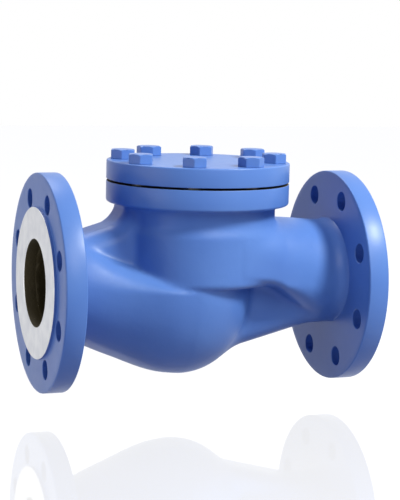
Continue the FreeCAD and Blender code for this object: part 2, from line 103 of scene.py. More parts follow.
def aim(obj, place, target, roll_deg=0.0):
    """Puts an object at a place with its -Z at the target and its Y upwards, then rolled."""
    forward = (Vector(target) - Vector(place)).normalized()
    turn = forward.to_track_quat("-Z", "Y") @ Quaternion((0, 0, 1), math.radians(roll_deg))
    obj.matrix_world = Matrix.Translation(Vector(place)) @ turn.to_matrix().to_4x4()


camera_data = bpy.data.cameras.new("camera")
camera_data.sensor_width = sensor_mm
camera_data.lens = focal_px / picture_height_px * sensor_mm
camera_data.clip_end = farthest_seen_m
camera = bpy.data.objects.new("camera", camera_data)
bpy.context.scene.collection.objects.link(camera)
aim(camera, view_from, view_at, view_roll_deg)
bpy.context.scene.camera = camera
print("lens", round(camera_data.lens, 2), "mm")

# %% [markdown]
# Every surface here is worked out as whole arrays of points. Two helpers turn arrays into a
# mesh. The first welds points that lie on each other, as where two grids share an edge, and
# drops the sides that shrink to nothing at a pole. The second writes the arrays into Blender
# in one go, shades them smooth and marks as sharp the edges that turn more than an angle.

# %% From arrays to a mesh
weld_mm = 0.001
sharp_angle_deg = 32.0


def weld(points, quads):
    """Merges points that round to the same place and renumbers the quads."""
    keys = np.round(points / weld_mm).astype(np.int64)
    _, first, number = np.unique(keys, axis=0, return_index=True, return_inverse=True)
    return points[first], number.reshape(-1)[quads]


def make_piece(name, points_mm, quads, body, materials, face_material=None):
    """A mesh object from points in millimetres and quads, riding on a body.

    A side of a quad whose two ends were welded together is dropped, which leaves a triangle,
    and a quad with fewer than three sides left is no face at all.
    """
    keep = quads != np.roll(quads, -1, axis=1)
    sides = keep.sum(axis=1)
    full = sides > 2
    corners = quads[full][keep[full]]
    starts = np.concatenate(([0], np.cumsum(sides[full])[:-1]))
    mesh = bpy.data.meshes.new(name)
    mesh.vertices.add(len(points_mm))
    mesh.vertices.foreach_set("co", (points_mm * MM).astype(np.float32).ravel())
    mesh.loops.add(len(corners))
    mesh.loops.foreach_set("vertex_index", corners.astype(np.int32))
    mesh.polygons.add(len(starts))
    mesh.polygons.foreach_set("loop_start", starts.astype(np.int32))
    mesh.update(calc_edges=True)
    for material in materials:
        mesh.materials.append(material)
    if face_material is not None:
        mesh.polygons.foreach_set("material_index", face_material[full].astype(np.int32))
    mesh.shade_smooth()
    mesh.set_sharp_from_angle(angle=math.radians(sharp_angle_deg))
    piece = bpy.data.objects.new(name, mesh)
    bpy.context.scene.collection.objects.link(piece)
    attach(piece, body)
    triangles = int((sides[full] - 2).sum())
    print(name, len(points_mm), "points", triangles, "triangles")
    return piece


print("points within", weld_mm, "mm are welded; edges over", sharp_angle_deg, "degrees are sharp")

# %% [markdown]
# A material is a small graph of nodes. One helper adds a node, gives it its settings and joins
# it up. Colours are written as they look on a screen, in hex, and one helper turns them into
# the linear light that the shader wants.

# %% Colour and node helpers
def hex_colour(text, alpha=1.0):
    """Linear RGBA of an sRGB hex colour: c / 12.92 for dark values, a 2.4 power above."""
    values = []
    for i in (0, 2, 4):
        c = int(text[i:i + 2], 16) / 255
        values.append(c / 12.92 if c <= 0.04045 else ((c + 0.055) / 1.055) ** 2.4)
    return (*values, alpha)


def add(tree, kind, settings=None, **links):
    """Adds a node. Settings are its properties. A link names an input of the node, or gives its
    number after an underscore, and its value is a number, a colour or another node's output."""
    node = tree.nodes.new(kind)
    for key, value in (settings or {}).items():
        setattr(node, key, value)
    for key, value in links.items():
        socket = node.inputs[int(key[1:]) if key[0] == "_" else key.replace("_", " ")]
        if isinstance(value, bpy.types.NodeSocket):
            tree.links.new(value, socket)
        else:
            socket.default_value = value
    return node


def new_material(name):
    """An empty material with its shader, and the output of its Object coordinates."""
    material = bpy.data.materials.new(name)
    material.use_nodes = True
    tree = material.node_tree
    tree.nodes.clear()
    shader = add(tree, "ShaderNodeBsdfPrincipled")
    output = add(tree, "ShaderNodeOutputMaterial")
    tree.links.new(shader.outputs["BSDF"], output.inputs["Surface"])
    place = add(tree, "ShaderNodeTexCoord").outputs["Object"]
    return material, tree, shader, place


def per_metre(size_mm):
    """Scale of a pattern whose features are this large: 1 / size, with the size in metres."""
    return 1.0 / (size_mm * MM)


print("half grey 808080 is", round(hex_colour("808080")[0], 3), "of white in linear light")

# %% [markdown]
# The casting and its cover wear a satin blue enamel, sprayed over a primer. To the eye it is
# an even colour with a low, broad gloss, and its skin has a faint orange peel a millimetre or
# two across. The sand-cast surface shows through it as a fine unevenness, and the colour is a
# little darker where the spray was thin. One could paint this as a picture, but a picture has
# an edge and a resolution. So the colour drifts slowly between two blues, two bumps of
# different sizes lie on each other, and the gloss is a little duller on the higher grain.

# %% Blue enamel on a casting
enamel_blue, enamel_deep = "5B81C2", "4A6FB6"
spray_drift_mm = 60.0
orange_peel_mm, peel_depth_mm, peel_share = 1.7, 0.10, 0.10
cast_grain_mm, grain_depth_mm = 9.0, 0.6
glossier, duller = 0.04, 0.06
enamel_ior, enamel_reflection = 1.5, 0.30


def enamel(name, grain_share, roughness):
    """Blue paint over metal whose own grain shows through by a share of its depth."""
    material, tree, shader, place = new_material(name)
    drift = add(tree, "ShaderNodeTexNoise", Vector=place, Scale=per_metre(spray_drift_mm),
                Detail=2.0)
    colour = add(tree, "ShaderNodeMix", {"data_type": "RGBA"}, _0=drift.outputs["Fac"],
                 _6=hex_colour(enamel_deep), _7=hex_colour(enamel_blue))
    peel = add(tree, "ShaderNodeTexNoise", Vector=place, Scale=per_metre(orange_peel_mm),
               Detail=1.5)
    grain = add(tree, "ShaderNodeTexNoise", Vector=place, Scale=per_metre(cast_grain_mm),
                Detail=4.0)
    fine = add(tree, "ShaderNodeBump", Strength=peel_share, Distance=peel_depth_mm * MM,
               Height=peel.outputs["Fac"])
    bumps = add(tree, "ShaderNodeBump", Strength=grain_share, Distance=grain_depth_mm * MM,
                Height=grain.outputs["Fac"], Normal=fine.outputs["Normal"])
    gloss = add(tree, "ShaderNodeMapRange", Value=grain.outputs["Fac"],
                To_Min=roughness - glossier, To_Max=roughness + duller)
    tree.links.new(colour.outputs[2], shader.inputs["Base Color"])
    tree.links.new(gloss.outputs["Result"], shader.inputs["Roughness"])
    tree.links.new(bumps.outputs["Normal"], shader.inputs["Normal"])
    shader.inputs["IOR"].default_value = enamel_ior
    shader.inputs["Specular IOR Level"].default_value = enamel_reflection
    return material


# On the casting the grain shows and spreads the gloss, on turned plates the paint lies flat,
# and on the small forged heads it is smoothest and shines most.
enamel_cast = enamel("blue_enamel_on_sand_casting", grain_share=0.35, roughness=0.40)
enamel_turned = enamel("blue_enamel_on_turned_steel", grain_share=0.12, roughness=0.36)
enamel_screw = enamel("blue_enamel_on_screw_heads", grain_share=0.10, roughness=0.34)
print("enamels:", enamel_cast.name, enamel_turned.name, enamel_screw.name)

# %% [markdown]
# The raised face of each flange is turned on a lathe and left bare, so that a gasket can bite.
# Its spiral groove is drawn as rings about a millimetre apart, which is a little coarser than
# the real one and still fine enough to look like one even sheen. Rings need the distance from
# the pipe axis, which the Wave texture gives when its ring direction is X. The bare steel has
# a light, dry sheen and small dull patches. The turned pieces inside are made in the same way
# about the upright axis, in their own metals.

# %% Bare turned metals
face_groove_mm, fine_groove_mm, drawn_line_mm = 1.1, 0.9, 0.7
groove_depth_mm, groove_share, groove_waver = 0.08, 0.25, 0.15
radians_per_unit = 20.0     # the Wave texture turns its wave this far in one scaled unit
stain_mm, stain_starts, stain_full = 14.0, 0.35, 0.75


def turned_metal(name, light, dark, groove_mm, axis, metallic, roughness):
    """Metal with rings about an axis: one ring is a whole turn, tau radians, of the wave."""
    material, tree, shader, place = new_material(name)
    centred = add(tree, "ShaderNodeMapping", Vector=place, Location=(-seat_x * MM, 0.0, 0.0))
    rings = add(tree, "ShaderNodeTexWave", {"wave_type": "RINGS", "rings_direction": axis},
                Vector=centred.outputs["Vector"], Distortion=groove_waver,
                Scale=per_metre(groove_mm) * math.tau / radians_per_unit)
    stain = add(tree, "ShaderNodeTexNoise", Vector=place, Scale=per_metre(stain_mm), Detail=6.0)
    spread = add(tree, "ShaderNodeMapRange", Value=stain.outputs["Fac"], From_Min=stain_starts,
                 From_Max=stain_full)
    colour = add(tree, "ShaderNodeMix", {"data_type": "RGBA"}, _0=spread.outputs["Result"],
                 _6=hex_colour(light), _7=hex_colour(dark))
    bump = add(tree, "ShaderNodeBump", Strength=groove_share, Distance=groove_depth_mm * MM,
               Height=rings.outputs["Fac"])
    tree.links.new(colour.outputs[2], shader.inputs["Base Color"])
    tree.links.new(bump.outputs["Normal"], shader.inputs["Normal"])
    shader.inputs["Metallic"].default_value = metallic
    shader.inputs["Roughness"].default_value = roughness
    return material


# The flange face is a pale and dry steel that hardly mirrors. Stainless steel is bright and
# grey, bronze a warm yellow-brown, the oiled screw dark and dull, and drawn wire clean grey.
bare_face = turned_metal("bare_turned_flange_face", "E6E6E4", "D2D3D5", face_groove_mm, "X",
                         metallic=0.55, roughness=0.42)
stainless = turned_metal("turned_stainless_steel", "BDBBB6", "A19E98", fine_groove_mm, "Z",
                         metallic=1.0, roughness=0.28)
bronze = turned_metal("bored_bronze", "B98A4A", "96692F", fine_groove_mm, "Z",
                      metallic=1.0, roughness=0.34)
screw_steel = turned_metal("oiled_screw_steel", "6F6E6C", "585653", fine_groove_mm, "Z",
                           metallic=0.9, roughness=0.40)
spring_wire = turned_metal("drawn_spring_wire", "A9A9A8", "8C8B89", drawn_line_mm, "Z",
                           metallic=1.0, roughness=0.30)
print("metals:", *(m.name for m in (bare_face, stainless, bronze, screw_steel, spring_wire)))

# %% [markdown]
# The water side of the casting isn't painted. Shot-blasted steel that has stood in a store
# turns a dark brown with a film of oil, and grit and rust lie on it as small paler specks.
# A texture of cells makes the specks, one noise the clouds of the oil film, and a finer one
# the rough cast skin.

# %% Bare cast bore
oil_dark, oil_brown, cloud_mm = "2E2814", "483D1F", 25.0
speck_grey, speck_apart_mm, speck_core, speck_edge = "8D8577", 3.2, 0.06, 0.14
patch_mm, patch_starts, patch_full = 7.0, 0.55, 0.65
skin_mm, skin_depth_mm, skin_share = 2.0, 0.4, 0.6
bore_metal, bore_dullness = 0.3, 0.55


def bare_casting(name):
    """Oiled cast skin: specks are the middles of cells, kept where a noise is high."""
    material, tree, shader, place = new_material(name)
    cloud = add(tree, "ShaderNodeTexNoise", Vector=place, Scale=per_metre(cloud_mm), Detail=5.0)
    ground = add(tree, "ShaderNodeMix", {"data_type": "RGBA"}, _0=cloud.outputs["Fac"],
                 _6=hex_colour(oil_dark), _7=hex_colour(oil_brown))
    specks = add(tree, "ShaderNodeTexVoronoi", Vector=place, Scale=per_metre(speck_apart_mm))
    dots = add(tree, "ShaderNodeMapRange", Value=specks.outputs["Distance"],
               From_Min=speck_core, From_Max=speck_edge, To_Min=1.0, To_Max=0.0)
    chance = add(tree, "ShaderNodeTexNoise", Vector=place, Scale=per_metre(patch_mm), Detail=2.0)
    some = add(tree, "ShaderNodeMapRange", Value=chance.outputs["Fac"], From_Min=patch_starts,
               From_Max=patch_full)
    share = add(tree, "ShaderNodeMath", {"operation": "MULTIPLY"}, _0=dots.outputs["Result"],
                _1=some.outputs["Result"])
    colour = add(tree, "ShaderNodeMix", {"data_type": "RGBA"}, _0=share.outputs["Value"],
                 _6=ground.outputs[2], _7=hex_colour(speck_grey))
    skin = add(tree, "ShaderNodeTexNoise", Vector=place, Scale=per_metre(skin_mm), Detail=3.0)
    bump = add(tree, "ShaderNodeBump", Strength=skin_share, Distance=skin_depth_mm * MM,
               Height=skin.outputs["Fac"])
    tree.links.new(colour.outputs[2], shader.inputs["Base Color"])
    tree.links.new(bump.outputs["Normal"], shader.inputs["Normal"])
    shader.inputs["Metallic"].default_value = bore_metal
    shader.inputs["Roughness"].default_value = bore_dullness
    return material


# It gives the eye a dark brown hollow with a dim, broken shine.
# The same dark colour also lies on the bonnet's and cover's joint faces as painted shade.
oiled_bore_and_joint_shade = bare_casting("bare_oiled_casting_and_joint_shade")
print("bore:", oiled_bore_and_joint_shade.name, "with specks about", speck_apart_mm, "mm apart")

# %% [markdown]
# The casting is the piece that takes the most care. In the drawing it is a sum of simple
# bodies: an upright drum, an inlet passage that sinks into a bowl below the seat, an outlet
# passage that leaves the drum, a web and a keel in the corners, and hubs at the flanges. In
# the foundry every inner corner between them is filled with a fillet, and the paint softens
# it further. Fillets on so many meeting surfaces are hard to model edge by edge. So each body
# is written as a distance: a function that is negative inside it, zero on its skin and
# positive outside. Two distances are then blended where they are nearly equal, and the
# blend is the fillet. First come the blends, and the distances of plain shapes.

# %% Blends and plain distances
def blend_union(a, b, k):
    """min(a, b) less h h k / 4, where h falls from 1 to 0 as |a - b| grows to k: a fillet."""
    h = np.maximum(k - np.abs(a - b), 0.0) / k
    return np.minimum(a, b) - h * h * k / 4


def blend_cut(a, b, k):
    """The part of a outside b, with its edge rounded: minus the blend of -a and b."""
    return -blend_union(-a, b, k)


def rounded_corner(a, b, r):
    """Where two slabs a and b meet, with the outer edge an arc of radius r."""
    outside = np.hypot(np.maximum(a + r, 0.0), np.maximum(b + r, 0.0))
    return np.minimum(np.maximum(a, b) + r, 0.0) + outside - r


def filled_corner(a, b, r):
    """Two slabs joined, with the inner edge an arc of radius r."""
    return -rounded_corner(-a, -b, r)


def upright_drum(p, radius, low, high, r):
    """Cylinder about the seat axis between two heights, with edges of radius r."""
    around = np.hypot(p[..., 0], p[..., 1]) - radius
    ends = np.abs(p[..., 2] - (low + high) / 2) - (high - low) / 2
    return rounded_corner(around, ends, r)


def slope(x, start, end):
    """0 before start, 1 after end, and the smooth curve 3 t t - 2 t t t between."""
    t = np.clip((x - start) / (end - start), 0.0, 1.0)
    return t * t * (3 - 2 * t)


print("two skins blended over 8 mm fill", -blend_union(0.0, 0.0, 8.0), "mm where they cross")

# %% [markdown]
# A passage changes its section along the pipe. At each end the drawing gives its half width,
# roof, floor, middle and fullness. A table says what share of the way from the first section
# to the last each of them has gone at a few stations, and a smooth curve runs through those.
# A loft between drawn outlines would do the same, but these few numbers also give the core
# inside, one wall smaller. Lengths u run along the pipe, from the seat's axis.

# %% Sections along the pipe
passage_mid, shallowest = 4.0, 12.0
neck_u, flange_back = seat_x - 34.0, seat_x - 22.0
bowl_u, drum_u = -19.5, 20.0
neck_section = {"width": 50.5, "roof": 44.5, "floor": -53.5, "mid": -passage_mid / 2, "full": 0.56}
hub_section = {"width": 59.5, "roof": 45.5, "floor": -57.0, "mid": -passage_mid / 2, "full": 0.56}
bowl_section = {"width": 70.0, "roof": 8.0, "floor": -88.0, "mid": -passage_mid, "full": 0.59}
drum_section = {"width": 71.3, "roof": 56.0, "floor": 6.0, "mid": passage_mid, "full": 1.0}
inlet_shares = np.array((
    (0.0, 0.0, 0.0, 0.0), (0.07, 0.06, 0.05, 0.09), (0.23, 0.19, 0.30, 0.30),
    (0.40, 0.36, 0.55, 0.505), (0.60, 0.63, 0.77, 0.75), (0.80, 0.90, 0.94, 0.93),
    (1.0, 1.0, 1.0, 1.0),
))
outlet_shares = np.array((
    (0.0, 0.0, 0.0, 0.0), (0.22, 0.17, 0.00, 0.10), (0.40, 0.39, 0.00, 0.20),
    (0.56, 0.57, 0.02, 0.42), (0.78, 0.85, 0.38, 0.76), (0.93, 0.98, 0.85, 0.96),
    (1.0, 1.0, 1.0, 1.0),
))


def smooth_through(xs, ys, x):
    """A natural cubic spline: the second slopes m of its pieces solve three-term rows, which
    make the first slopes agree at each station, and m is zero at both ends."""
    gap, rise = np.diff(xs), np.diff(ys) / np.diff(xs)
    rows = np.eye(len(xs))
    inner = np.arange(1, len(xs) - 1)
    rows[inner, inner - 1], rows[inner, inner], rows[inner, inner + 1] = (
        gap[:-1], 2 * (gap[:-1] + gap[1:]), gap[1:])
    m = np.linalg.solve(rows, np.concatenate(([0.0], 6 * np.diff(rise), [0.0])))
    i = np.clip(np.searchsorted(xs, x) - 1, 0, len(gap) - 1)
    left, right = x - xs[i], xs[i + 1] - x
    curved = (m[i] * right ** 3 + m[i + 1] * left ** 3) / (6 * gap[i])
    straight = (ys[i] / gap[i] - m[i] * gap[i] / 6) * right
    return curved + straight + (ys[i + 1] / gap[i] - m[i + 1] * gap[i] / 6) * left


def passage_sizes(u, first_u, first, last_u, last, shares):
    """Sizes of the section at each u: first + (last - first) times the share gone by there."""
    u = np.clip(u, min(first_u, last_u), max(first_u, last_u))
    along = (u - first_u) / (last_u - first_u)
    sizes = {}
    for column, key in ((1, "width"), (2, "roof"), (3, "floor")):
        share = smooth_through(shares[:, 0], shares[:, column], along)
        sizes[key] = first[key] + (last[key] - first[key]) * share
    for key in ("mid", "full"):
        sizes[key] = first[key] + (last[key] - first[key]) * along
    sizes["mid"] = np.maximum(sizes["mid"], sizes["floor"] + shallowest)
    return sizes


half_way = passage_sizes(-70.0, -neck_u, neck_section, bowl_u, bowl_section, inlet_shares)
print("inlet half way:", {key: round(float(value), 2) for key, value in half_way.items()})

# %% [markdown]
# A section is a superellipse: |y / width| to the power n plus |z / height| to the power n
# is 1. With n = 2 it is an ellipse, and a larger n makes it fuller, like a rounded box. The
# neck flares into a hub before the flange, which a real casting has so that the bolts' pull
# doesn't bend its thin wall. Inside, the core's section turns into the bore's circle there.

# %% A section as a distance
hub_bite, circle_fullness = 2.0, 0.5523
bore_r, bore_start = 39.4, seat_x - 12.0


def turned_about_y(section):
    """The outlet's neck and hub are the inlet's, turned half a turn about the seat."""
    return {**section, "roof": -section["floor"], "floor": -section["roof"],
            "mid": -section["mid"]}


def flared(sizes, u, neck, hub):
    """Adds the hub: a quarter ellipse, 1 - sqrt(1 - t t), from the neck into the flange."""
    t = np.clip((np.abs(u) - neck_u) / (flange_back + hub_bite - neck_u), 0.0, 1.0)
    share = 1 - np.sqrt(1 - t * t)
    return {key: value + (hub[key] - neck[key]) * share for key, value in sizes.items()}


def to_bore(sizes, u, depth):
    """Turns the core's section into the bore's circle between the neck and the bore."""
    share = np.clip((np.abs(u) - neck_u) / (bore_start - neck_u), 0.0, 1.0)
    round_bore = {"width": bore_r + depth, "roof": bore_r + depth, "floor": -bore_r - depth,
                  "mid": 0.0, "full": circle_fullness}
    return {key: value + (round_bore[key] - value) * share for key, value in sizes.items()}


def section_distance(sizes, y, z, depth):
    """Radius of the point in units of its superellipse, less 1. Depth moves the wall inwards.

    The middle of a quarter of the outline lies at 0.5 + 0.375 full of the half width and
    height, and the power n is the one whose superellipse passes through that point.
    """
    width = sizes["width"] - depth
    rise = z - sizes["mid"]
    half = np.where(rise > 0, sizes["roof"] - sizes["mid"], sizes["mid"] - sizes["floor"]) - depth
    n = math.log(0.5) / np.log(0.5 + 0.375 * sizes["full"])
    reach = (np.abs(y / width) ** n + np.abs(rise / half) ** n) ** (-1 / n)
    return 1 / np.maximum(reach, 1e-9) - 1


def to_distance(shape, p, step=0.25):
    """Turns any smooth function into a distance near its zero: divides it by its slope."""
    value = shape(p)
    slopes = [(shape(p + step * axis) - value) / step for axis in np.eye(3)]
    steep = np.sqrt(sum(s * s for s in slopes))
    return value / np.maximum(steep, 1e-4)


half_section = section_distance(half_way, half_way["width"] / 2, half_way["mid"], 0)
print("half way out of a section its distance is", round(float(half_section), 3), "radii")

# %% [markdown]
# Now the bodies of the casting, each a distance. They take points (u, y, z) in millimetres
# about the crossing of the pipe axis and the seat axis. The inlet passage ends in the bowl,
# which is the last section turned about an upright axis, so beyond that section the sideways
# distance is simply measured from the axis. The outlet passage starts inside the drum.

# %% The two passages
wall = 9.0
drum_end_round = 3.0


def inlet_passage(p, depth):
    """Distance of the inlet and its bowl, or of their core at a wall's depth inside."""
    def shape(q):
        """Section distance, measured round the bowl's own axis beyond its section."""
        u, y, z = q[..., 0], q[..., 1], q[..., 2]
        sizes = passage_sizes(u, -neck_u, neck_section, bowl_u, bowl_section, inlet_shares)
        if depth == 0:
            sizes = flared(sizes, u, neck_section, hub_section)
        else:
            sizes = to_bore(sizes, u, depth)
        sideways = np.hypot(np.maximum(u - bowl_u, 0.0), y)
        return section_distance(sizes, sideways, z, depth)
    return to_distance(shape, p)


def outlet_passage(p, depth):
    """Distance of the outlet from inside the drum to the flange, or of its core."""
    neck, hub = turned_about_y(neck_section), turned_about_y(hub_section)

    def shape(q):
        """Section distance along the pipe."""
        u, y, z = q[..., 0], q[..., 1], q[..., 2]
        sizes = passage_sizes(u, drum_u, drum_section, neck_u, neck, outlet_shares)
        if depth == 0:
            sizes = flared(sizes, u, neck, hub)
        else:
            sizes = to_bore(sizes, u, depth)
        return section_distance(sizes, y, z, depth)
    return rounded_corner(to_distance(shape, p), drum_u - p[..., 0], drum_end_round)


bowl_middle = np.array((bowl_u, 0.0, (bowl_section["roof"] + bowl_section["floor"]) / 2))
print("distance of the bowl's middle:", round(float(inlet_passage(bowl_middle, 0)), 1), "mm")

# %% [markdown]
# The drum stands over the seat and carries the bonnet. Its neck is a little slimmer, so that
# the cover's screws have room. In the corners between drum and passages lie two ribs: a web
# above the inlet and a keel below the outlet. They stiffen the body, and both are hollow,
# because a casting cools evenly only where its wall stays the same.

# %% The drum and the two ribs
drum_r, drum_neck_r, neck_bore_r = 75.0, 72.5, 57.0
neck_starts, neck_ends, drum_edge = 45.0, 57.0, 5.0
bonnet_underside = bonnet_top - 19.3
core_neck_ends = bonnet_underside - 4.0
rib_half_width, rib_round = 30.0, 18.0
web_height, web_rise, web_corner = 43.0, 0.305, 16.0
keel_height, keel_rise = 40.3, -0.262
pocket_u, pocket_half_length, pocket_floor = -75.5, 18.5, wall + 1


def drum(p):
    """Upright drum whose radius narrows smoothly between two heights below the bonnet."""
    narrowed = (drum_r - drum_neck_r) * slope(p[..., 2], neck_starts, neck_ends)
    around = np.hypot(p[..., 0], p[..., 1]) - drum_r + narrowed
    return rounded_corner(around, -p[..., 2], drum_edge)


def drum_core(p):
    """The drum's hollow, one wall smaller, which narrows to the neck's bore."""
    narrowed = (drum_r - wall - neck_bore_r) * slope(p[..., 2], neck_starts, core_neck_ends)
    around = np.hypot(p[..., 0], p[..., 1]) - drum_r + wall + narrowed
    return rounded_corner(around, wall - p[..., 2], wall)


def under_line(p, height, rise, at_u):
    """Distance above a sloping line in side view: height and rise are given at at_u."""
    tilt = math.hypot(1.0, rise)
    return (p[..., 2] - height - rise * (p[..., 0] - at_u)) / tilt


def web(p):
    """Rib above the inlet passage, with a hollow corner where it meets the drum."""
    top = under_line(p, web_height, web_rise, -neck_u)
    outline = filled_corner(top, -drum_r - p[..., 0], web_corner)
    rib = rounded_corner(outline, np.abs(p[..., 1]) - rib_half_width, rib_round)
    return np.maximum(np.maximum(rib, p[..., 0]), -p[..., 2])


def web_pocket(p):
    """The web's hollow, one wall inside it, over a length of the rib."""
    top = under_line(p, web_height - wall, web_rise, -neck_u)
    pocket = rounded_corner(top, np.abs(p[..., 1]) - rib_half_width + wall, rib_round - wall)
    reach = np.abs(p[..., 0] - pocket_u) - pocket_half_length
    return np.maximum(np.maximum(pocket, reach), pocket_floor - p[..., 2])


def keel(p, depth=0.0):
    """Rib below the outlet passage, or its pocket at the wall's depth."""
    bottom = under_line(p * np.array((1, 1, -1)), keel_height - depth, keel_rise, neck_u)
    rib = rounded_corner(bottom, np.abs(p[..., 1]) - rib_half_width + depth, rib_round - depth)
    return np.maximum(np.maximum(rib, -bowl_u - p[..., 0]), p[..., 2])


print("drum", 2 * drum_r, "mm across, its neck", 2 * drum_neck_r, "mm, walls", wall, "mm")

# %% [markdown]
# The bodies are joined with the casting's fillets, the cores are cut out with small ones, and
# last comes what is machined: the seat's bore and pad. The drum's top ends in a short stub
# under the bonnet ring, so that a fillet joins the two. A very slow unevenness of a quarter of
# a millimetre keeps the large faces from looking like a computer drew them.

# %% The casting as one distance
web_fillet, drum_fillet, keel_fillet, bonnet_fillet = 5.0, 5.0, 8.0, 6.0
core_fillet, machined_edge = 5.0, 1.0
seat_way_r, seat_pad_r, seat_pad_top = 40.0, 58.0, 14.0
pad_edge, crisp_edge, past_pad, pad_reach = 0.5, 0.1, 1.0, 20.0
bonnet_middle = (bonnet_underside + bonnet_top) / 2
stub_inset, stub_sink, stub_edge = 6.0, 0.6, 1.0
unevenness_mm, flange_bite = 0.25, 0.5
wave_lengths, wave_starts = np.array((17.0, 23.0, 19.0)), np.array((1.3, 0.4, 2.2))


def casting_outside(p):
    """All the outer bodies blended, and the inlet's alone, which parts the two cores."""
    lower = inlet_passage(p, 0)
    shell = blend_union(lower, web(p), web_fillet)
    shell = blend_union(shell, drum(p), drum_fillet)
    shell = blend_union(shell, outlet_passage(p, 0), drum_fillet)
    shell = blend_union(shell, keel(p), keel_fillet)
    stub = upright_drum(p, bonnet_r - stub_inset, bonnet_underside + stub_sink, bonnet_middle,
                        stub_edge)
    return blend_union(shell, stub, bonnet_fillet), lower


def casting_cores(p, lower_outside):
    """The hollow above the partition, the hollow below it, and the seat's bore and pad."""
    upper = blend_union(drum_core(p), outlet_passage(p, wall), core_fillet)
    upper = blend_union(upper, web_pocket(p), core_fillet)
    upper = blend_cut(upper, lower_outside, core_fillet)
    seat_pad = upright_drum(p, seat_pad_r, -wall, seat_pad_top, pad_edge)
    upper = blend_cut(upper, seat_pad, machined_edge)
    lower = inlet_passage(p, wall)
    pocket = blend_cut(keel(p, wall), outlet_passage(p, 0), core_fillet)
    lower = blend_union(lower, pocket, core_fillet)
    cores = np.minimum(upper, lower)
    seat_way = upright_drum(p, seat_way_r, -wall, seat_pad_top + past_pad, crisp_edge)
    above_pad = upright_drum(p, seat_pad_r, seat_pad_top, seat_pad_top + pad_reach, crisp_edge)
    return np.minimum(np.minimum(cores, seat_way), above_pad)


def casting_parts(p):
    """Outside and cores. The outside gets a product of three sine waves, and flat ends."""
    outside, lower = casting_outside(p)
    waves = np.sin(p / wave_lengths + wave_starts)
    outside = outside + unevenness_mm * (waves[..., 0] * waves[..., 1] * waves[..., 2])
    outside = np.maximum(outside, np.abs(p[..., 0]) - bore_start - flange_bite)
    outside = np.maximum(outside, p[..., 2] - bonnet_middle)
    return outside, casting_cores(p, lower)


def casting(p):
    """The outside less the cores, with every machined edge broken."""
    outside, cores = casting_parts(p)
    return blend_cut(outside, cores, machined_edge)


probe_step = 0.1
probe = np.array((bowl_u, 0.0, 0.0)) - np.arange(60.0, 100.0, probe_step)[:, None] * np.eye(3)[2]
print("wall under the bowl:", round(float((casting(probe) < 0).sum()) * probe_step, 1), "mm")

# %% [markdown]
# To get a mesh from a distance, the space is divided into small cubes. Each cube that the skin
# passes through gets one point, at the mean of where the skin crosses its edges, and four
# points round each crossed edge make a face. This is called a surface net. Its faces are even
# quads, which shade more smoothly than the slivers that cutting the cubes would leave.

# %% Surface net of a distance
def surface_net(distance, low, high, cell):
    """Points and quads of the zero of a distance, on cubes of one size.

    An edge from value a to value b of the other sign is crossed at the share a / (a - b).
    """
    lines = [np.arange(a, b + cell, cell) for a, b in zip(low, high)]
    value = distance(np.stack(np.meshgrid(*lines, indexing="ij"), axis=-1))
    inside = value < 0
    shape = tuple(n - 1 for n in value.shape)
    total, count = np.zeros(shape + (3,)), np.zeros(shape)
    crossings = []
    for axis in range(3):
        first = [slice(None)] * 3
        second = [slice(None)] * 3
        first[axis], second[axis] = slice(0, -1), slice(1, None)
        first, second = tuple(first), tuple(second)
        crossed = inside[first] != inside[second]
        fall = np.where(crossed, value[first] - value[second], 1)
        share = np.where(crossed, value[first] / fall, 0)
        crossings.append((crossed, inside[first]))
        b, c = (axis + 1) % 3, (axis + 2) % 3
        for shift_b in (0, 1):
            for shift_c in (0, 1):
                cut = [slice(None)] * 3
                cut[b] = slice(shift_b, shift_b + shape[b])
                cut[c] = slice(shift_c, shift_c + shape[c])
                here = crossed[tuple(cut)]
                count += here
                total[..., axis] += share[tuple(cut)]
                total[..., b] += here * shift_b
                total[..., c] += here * shift_c
    used = count > 0
    number = np.cumsum(used.ravel()).reshape(shape) - 1
    corner = np.stack(np.nonzero(used), axis=-1)
    points = (corner + total[used] / count[used][:, None]) * cell + np.array(low)
    quads = []
    for axis, (crossed, solid_first) in enumerate(crossings):
        b, c = (axis + 1) % 3, (axis + 2) % 3
        at = np.stack(np.nonzero(crossed), axis=-1)
        at = at[(at[:, b] > 0) & (at[:, c] > 0) & (at[:, b] < shape[b]) & (at[:, c] < shape[c])]
        step_b, step_c = np.eye(3, dtype=int)[b], np.eye(3, dtype=int)[c]
        ring = [at - step_b - step_c, at - step_c, at, at - step_b]
        quad = np.stack([number[tuple(r.T)] for r in ring], axis=-1)
        outward = solid_first[tuple(at.T)]
        quads.append(np.where(outward[:, None], quad, quad[:, ::-1]))
    return points, np.concatenate(quads)


_, ball_quads = surface_net(lambda p: np.linalg.norm(p, axis=-1) - 10.0,
                            (-12.0, -12.0, -12.0), (12.0, 12.0, 12.0), 1.0)
print("a ball of 20 mm on cubes of 1 mm has", len(ball_quads), "faces")

# %% [markdown]
# The net's points lie close to the skin but not on it. So each is pulled along the slope of
# the distance until that is zero. The faces are then told apart: where the core is nearer than
# the outside, the casting is bare and oily, and the rest is painted. The bores run to the
# flanges, so the net's flat ends inside them are bare too.

# %% The casting's mesh
def pull_to_skin(distance, points, steps, reach, step=0.1):
    """Moves each point against the slope by its distance, at most reach each time."""
    for _ in range(steps):
        value = distance(points)
        slopes = [distance(points + step * axis) - distance(points - step * axis)
                  for axis in np.eye(3)]
        way = np.stack(slopes, axis=-1)
        way = way / np.maximum(np.linalg.norm(way, axis=-1, keepdims=True), 1e-9)
        points = points - way * np.clip(value, -reach, reach)[:, None]
    return points


